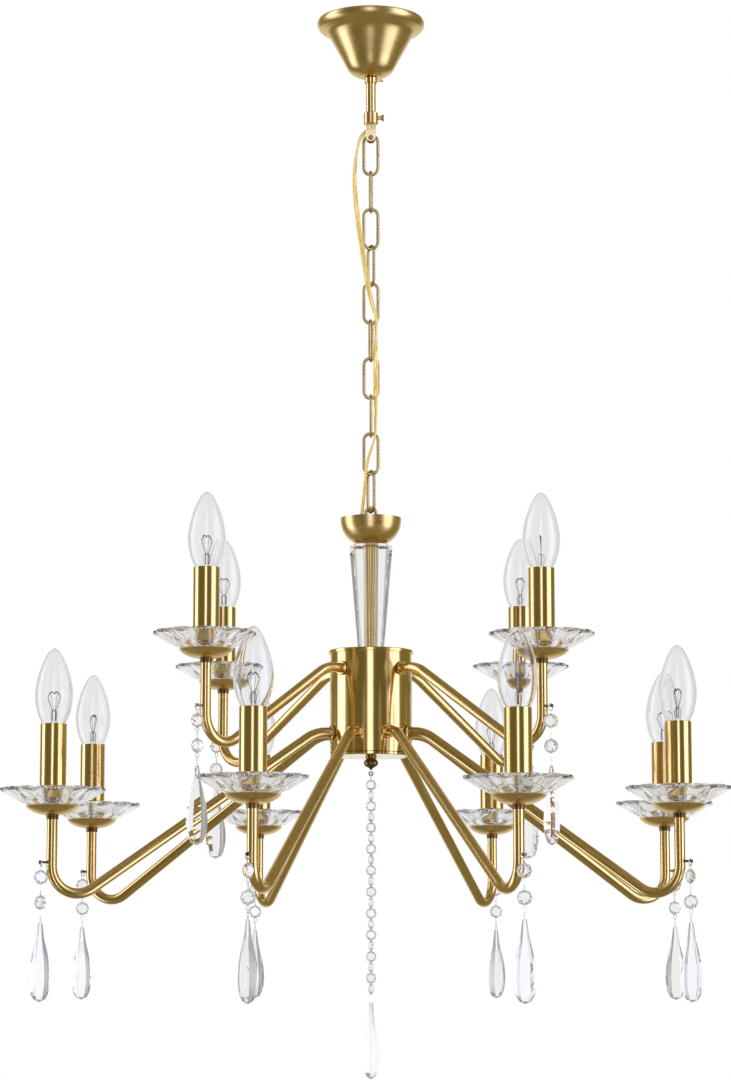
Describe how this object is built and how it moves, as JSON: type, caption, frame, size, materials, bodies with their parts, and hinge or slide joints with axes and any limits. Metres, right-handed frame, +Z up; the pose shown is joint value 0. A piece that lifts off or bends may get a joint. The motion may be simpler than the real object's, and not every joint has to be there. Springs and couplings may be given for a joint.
{
  "type": "chandelier",
  "caption": "Two-tier candle chandelier: brass arms round a drum, cut glass dishes, clear candle bulbs and crystal drops, hung on a chain with a flex from a bell canopy.",
  "frame": {"origin": "centre of the ceiling bracket's flat top, where it meets the ceiling", "axes": "+Z up into the ceiling, -Y towards the front, +X to the right"},
  "size_m": [0.6972, 0.6997, 1.0585],
  "materials": {
    "brass": "satin",
    "crystal": "polished, cut",
    "lamp_glass": "clear, blown",
    "gold_flex": "translucent gold"
  },
  "bodies": {
    "ceiling_mount": {"ceiling_bracket": "brass", "chain_coupling": "brass"},
    "canopy": {"canopy": "brass", "canopy_collar": "brass"},
    "thumb_screw": {"coupling_screw": "brass"},
    "chain": {"chain": "brass", "flex_cord": "gold_flex"},
    "fixture": {"bowl": "brass", "glass_column": "crystal", "hub_drum": "brass", "base_and_finial": "brass", "lower_arm_1": "brass", "lower_dish_1": "crystal", "lower_arm_2": "brass", "lower_dish_2": "crystal", "lower_arm_3": "brass", "lower_dish_3": "crystal", "lower_arm_4": "brass", "lower_dish_4": "crystal", "lower_arm_5": "brass", "lower_dish_5": "crystal", "lower_arm_6": "brass", "lower_dish_6": "crystal", "lower_arm_7": "brass", "lower_dish_7": "crystal", "lower_arm_8": "brass", "lower_dish_8": "crystal", "upper_arm_1": "brass", "upper_dish_1": "crystal", "upper_arm_2": "brass", "upper_dish_2": "crystal", "upper_arm_3": "brass", "upper_dish_3": "crystal", "upper_arm_4": "brass", "upper_dish_4": "crystal"},
    "bead_string": {"bead_string": "crystal"},
    "lower_bulb_1": {"lower_bulb_1": "lamp_glass"},
    "lower_pendant_1": {"lower_pendant_1": "crystal"},
    "lower_bulb_2": {"lower_bulb_2": "lamp_glass"},
    "lower_pendant_2": {"lower_pendant_2": "crystal"},
    "lower_bulb_3": {"lower_bulb_3": "lamp_glass"},
    "lower_pendant_3": {"lower_pendant_3": "crystal"},
    "lower_bulb_4": {"lower_bulb_4": "lamp_glass"},
    "lower_pendant_4": {"lower_pendant_4": "crystal"},
    "lower_bulb_5": {"lower_bulb_5": "lamp_glass"},
    "lower_pendant_5": {"lower_pendant_5": "crystal"},
    "lower_bulb_6": {"lower_bulb_6": "lamp_glass"},
    "lower_pendant_6": {"lower_pendant_6": "crystal"},
    "lower_bulb_7": {"lower_bulb_7": "lamp_glass"},
    "lower_pendant_7": {"lower_pendant_7": "crystal"},
    "lower_bulb_8": {"lower_bulb_8": "lamp_glass"},
    "lower_pendant_8": {"lower_pendant_8": "crystal"},
    "upper_bulb_1": {"upper_bulb_1": "lamp_glass"},
    "upper_pendant_1": {"upper_pendant_1": "crystal"},
    "upper_bulb_2": {"upper_bulb_2": "lamp_glass"},
    "upper_pendant_2": {"upper_pendant_2": "crystal"},
    "upper_bulb_3": {"upper_bulb_3": "lamp_glass"},
    "upper_pendant_3": {"upper_pendant_3": "crystal"},
    "upper_bulb_4": {"upper_bulb_4": "lamp_glass"},
    "upper_pendant_4": {"upper_pendant_4": "crystal"}
  },
  "joints": [
    {"name": "canopy_slide", "type": "slide", "parent": "ceiling_mount", "child": "canopy", "axis": [0, 0, 1], "range_m": [-0.03, 0]},
    {"name": "thumb_screw_turn", "type": "hinge", "parent": "ceiling_mount", "child": "thumb_screw", "pos_m": [0.0095, 0, -0.101], "axis": [1, 0, 0], "range_deg": [-360, 360]},
    {"name": "chain_swing", "type": "hinge", "parent": "ceiling_mount", "child": "chain", "pos_m": [0, 0, -0.1227], "axis": [0, 1, 0], "range_deg": [-8, 8]},
    {"name": "fixture_swing", "type": "hinge", "parent": "chain", "child": "fixture", "pos_m": [0, 0, -0.5001], "axis": [1, 0, 0], "range_deg": [-10, 10]},
    {"name": "bead_string_swing", "type": "hinge", "parent": "fixture", "child": "bead_string", "pos_m": [0, 0, -0.7654], "axis": [1, 0, 0], "range_deg": [-30, 30]},
    {"name": "lower_bulb_1_lift", "type": "slide", "parent": "fixture", "child": "lower_bulb_1", "axis": [0, 0, 1], "range_m": [0, 0.03]},
    {"name": "lower_pendant_1_swing", "type": "hinge", "parent": "fixture", "child": "lower_pendant_1", "pos_m": [-0.10783, -0.31316, -0.854], "axis": [-0.3256, -0.9455, 0], "range_deg": [-35, 35]},
    {"name": "lower_bulb_2_lift", "type": "slide", "parent": "fixture", "child": "lower_bulb_2", "axis": [0, 0, 1], "range_m": [0, 0.03]},
    {"name": "lower_pendant_2_swing", "type": "hinge", "parent": "fixture", "child": "lower_pendant_2", "pos_m": [0.13365, -0.30303, -0.854], "axis": [0.4035, -0.915, 0], "range_deg": [-35, 35]},
    {"name": "lower_bulb_3_lift", "type": "slide", "parent": "fixture", "child": "lower_bulb_3", "axis": [0, 0, 1], "range_m": [0, 0.03]},
    {"name": "lower_pendant_3_swing", "type": "hinge", "parent": "fixture", "child": "lower_pendant_3", "pos_m": [0.29562, -0.14933, -0.854], "axis": [0.8926, -0.4509, 0], "range_deg": [-35, 35]},
    {"name": "lower_bulb_4_lift", "type": "slide", "parent": "fixture", "child": "lower_bulb_4", "axis": [0, 0, 1], "range_m": [0, 0.03]},
    {"name": "lower_pendant_4_swing", "type": "hinge", "parent": "fixture", "child": "lower_pendant_4", "pos_m": [0.30815, 0.12139, -0.854], "axis": [0.9304, 0.3665, 0], "range_deg": [-35, 35]},
    {"name": "lower_bulb_5_lift", "type": "slide", "parent": "fixture", "child": "lower_bulb_5", "axis": [0, 0, 1], "range_m": [0, 0.03]},
    {"name": "lower_pendant_5_swing", "type": "hinge", "parent": "fixture", "child": "lower_pendant_5", "pos_m": [0.13471, 0.30257, -0.854], "axis": [0.4067, 0.9135, 0], "range_deg": [-35, 35]},
    {"name": "lower_bulb_6_lift", "type": "slide", "parent": "fixture", "child": "lower_bulb_6", "axis": [0, 0, 1], "range_m": [0, 0.03]},
    {"name": "lower_pendant_6_swing", "type": "hinge", "parent": "fixture", "child": "lower_pendant_6", "pos_m": [-0.12407, 0.30708, -0.854], "axis": [-0.3746, 0.9272, 0], "range_deg": [-35, 35]},
    {"name": "lower_bulb_7_lift", "type": "slide", "parent": "fixture", "child": "lower_bulb_7", "axis": [0, 0, 1], "range_m": [0, 0.03]},
    {"name": "lower_pendant_7_swing", "type": "hinge", "parent": "fixture", "child": "lower_pendant_7", "pos_m": [-0.2951, 0.15036, -0.854], "axis": [-0.891, 0.454, 0], "range_deg": [-35, 35]},
    {"name": "lower_bulb_8_lift", "type": "slide", "parent": "fixture", "child": "lower_bulb_8", "axis": [0, 0, 1], "range_m": [0, 0.03]},
    {"name": "lower_pendant_8_swing", "type": "hinge", "parent": "fixture", "child": "lower_pendant_8", "pos_m": [-0.3092, -0.11869, -0.854], "axis": [-0.9336, -0.3584, 0], "range_deg": [-35, 35]},
    {"name": "upper_bulb_1_lift", "type": "slide", "parent": "fixture", "child": "upper_bulb_1", "axis": [0, 0, 1], "range_m": [0, 0.03]},
    {"name": "upper_pendant_1_swing", "type": "hinge", "parent": "fixture", "child": "upper_pendant_1", "pos_m": [-0.16135, -0.16419, -0.7105], "axis": [-0.7009, -0.7133, 0], "range_deg": [-35, 35]},
    {"name": "upper_bulb_2_lift", "type": "slide", "parent": "fixture", "child": "upper_bulb_2", "axis": [0, 0, 1], "range_m": [0, 0.03]},
    {"name": "upper_pendant_2_swing", "type": "hinge", "parent": "fixture", "child": "upper_pendant_2", "pos_m": [0.16698, -0.15846, -0.7105], "axis": [0.7254, -0.6884, 0], "range_deg": [-35, 35]},
    {"name": "upper_bulb_3_lift", "type": "slide", "parent": "fixture", "child": "upper_bulb_3", "axis": [0, 0, 1], "range_m": [0, 0.03]},
    {"name": "upper_pendant_3_swing", "type": "hinge", "parent": "fixture", "child": "upper_pendant_3", "pos_m": [0.16278, 0.16278, -0.7105], "axis": [0.7071, 0.7071, 0], "range_deg": [-35, 35]},
    {"name": "upper_bulb_4_lift", "type": "slide", "parent": "fixture", "child": "upper_bulb_4", "axis": [0, 0, 1], "range_m": [0, 0.03]},
    {"name": "upper_pendant_4_swing", "type": "hinge", "parent": "fixture", "child": "upper_pendant_4", "pos_m": [-0.15991, 0.16559, -0.7105], "axis": [-0.6947, 0.7193, 0], "range_deg": [-35, 35]}
  ]
}
